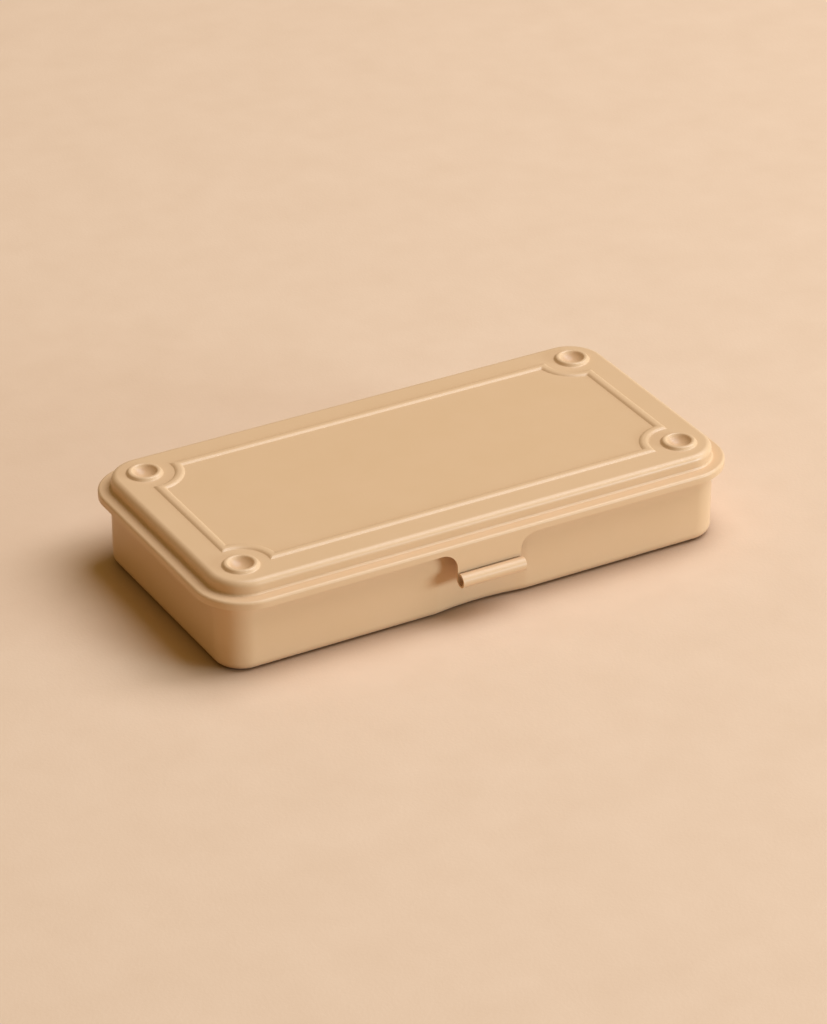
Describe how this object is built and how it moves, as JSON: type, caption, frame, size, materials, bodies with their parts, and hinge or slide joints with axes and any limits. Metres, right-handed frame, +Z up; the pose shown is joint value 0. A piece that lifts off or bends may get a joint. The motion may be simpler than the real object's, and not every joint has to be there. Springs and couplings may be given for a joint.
{
  "type": "sewing machine attachment box",
  "caption": "Flat pressed-steel box with rounded corners, a stepped hinged lid with a raised border and stacking rings, and a rolled lift tab.",
  "frame": {"origin": "middle of the tray's flat underside, on the surface that the box stands on", "axes": "+X along the length, +Y to the hinges at the back, so the lift tab is at -Y, +Z up"},
  "size_m": [0.203, 0.1086, 0.0353],
  "materials": {
    "body_paint": "satin",
    "lid_paint": "satin",
    "hinge_paint": "satin",
    "pin_steel": "satin"
  },
  "bodies": {
    "tray": {"body_shell": "body_paint", "hinge_leaf_left": "hinge_paint", "hinge_leaf_right": "hinge_paint", "hinge_pin_left": "pin_steel", "hinge_pin_right": "pin_steel", "hinge_rivets_left": "hinge_paint", "hinge_rivets_right": "hinge_paint"},
    "lid": {"lid_shell": "lid_paint"}
  },
  "joints": [
    {"name": "lid_hinge", "type": "hinge", "parent": "tray", "child": "lid", "pos_m": [0, 0.05025, 0.02259], "axis": [-1, 0, 0], "range_deg": [0, 110]}
  ]
}
